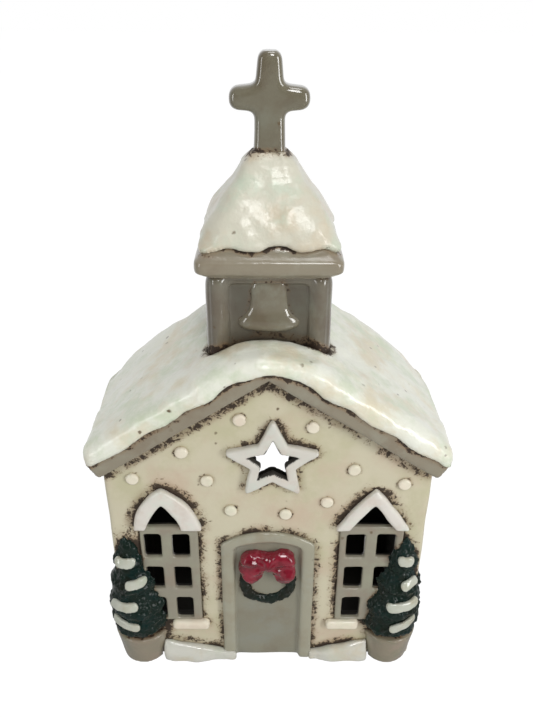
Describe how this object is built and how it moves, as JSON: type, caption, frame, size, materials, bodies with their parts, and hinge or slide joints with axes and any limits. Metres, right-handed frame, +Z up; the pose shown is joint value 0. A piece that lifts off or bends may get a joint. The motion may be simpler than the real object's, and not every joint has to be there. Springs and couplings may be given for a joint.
{
  "type": "ceramic village house",
  "caption": "Glazed ceramic chapel with a snowy gabled roof, belfry, cross, pierced star and lattice windows, lit by a removable LED candle.",
  "frame": {"origin": "on the table, under the middle of the house", "axes": "+Z up, the front with the door faces -Y, +X to the viewer's right"},
  "size_m": [0.1371, 0.0719, 0.2503],
  "materials": {
    "cream_glaze": "ivory glaze with brown rubbed into the corners",
    "taupe_glaze": "glossy warm grey glaze",
    "snow_glaze": "thick glossy white glaze",
    "door_glaze": "glossy grey-green glaze",
    "lattice_glaze": "pale warm grey glaze",
    "hood_glaze": "cool white glaze",
    "tree_glaze": "very dark green glaze",
    "wreath_glaze": "very dark green glaze",
    "bow_glaze": "crimson glaze",
    "pot_glaze": "beige-grey glaze",
    "candle_plastic": "waxy ivory plastic",
    "flame_plastic": "translucent amber plastic",
    "led_lens": "clear amber epoxy",
    "board_laminate": "green circuit laminate",
    "cell_steel": "bright nickel-plated can",
    "contact_steel": "plated spring strip",
    "switch_plastic": "black plastic"
  },
  "bodies": {
    "house": {"front_wall": "cream_glaze", "back_wall": "cream_glaze", "left_wall": "cream_glaze", "right_wall": "cream_glaze", "floor_slab": "cream_glaze", "roof_slab": "taupe_glaze", "roof_snow": "snow_glaze", "belfry_tower": "taupe_glaze", "bell": "taupe_glaze", "tower_cap": "taupe_glaze", "tower_cap_snow": "snow_glaze", "cross": "taupe_glaze", "door_panel": "door_glaze", "door_surround": "door_glaze", "wreath": "wreath_glaze", "bow": "bow_glaze", "star_surround": "hood_glaze", "snow_dots": "snow_glaze", "left_window_lattice": "lattice_glaze", "left_window_hood": "hood_glaze", "left_window_sill": "snow_glaze", "left_tree": "tree_glaze", "left_tree_snow": "snow_glaze", "left_pot": "pot_glaze", "left_snow_drift": "snow_glaze", "right_window_lattice": "lattice_glaze", "right_window_hood": "hood_glaze", "right_window_sill": "snow_glaze", "right_tree": "tree_glaze", "right_tree_snow": "snow_glaze", "right_pot": "pot_glaze", "right_snow_drift": "snow_glaze"},
    "candle": {"candle_shell": "candle_plastic", "candle_base": "candle_plastic", "candle_flame": "flame_plastic", "candle_led": "led_lens", "candle_board": "board_laminate", "candle_coin_cell": "cell_steel", "candle_contacts": "contact_steel"},
    "battery_hatch": {"candle_battery_hatch": "candle_plastic"},
    "power_switch": {"candle_switch": "switch_plastic"}
  },
  "joints": [
    {"name": "candle_slide", "type": "slide", "parent": "house", "child": "candle", "axis": [0, 1, 0], "range_m": [0, 0.075]},
    {"name": "hatch_turn", "type": "hinge", "parent": "candle", "child": "battery_hatch", "pos_m": [0, 0, 0.0056], "axis": [0, 0, 1], "range_deg": [0, 60]},
    {"name": "switch_slide", "type": "slide", "parent": "candle", "child": "power_switch", "axis": [1, 0, 0], "range_m": [0, 0.0025]}
  ]
}
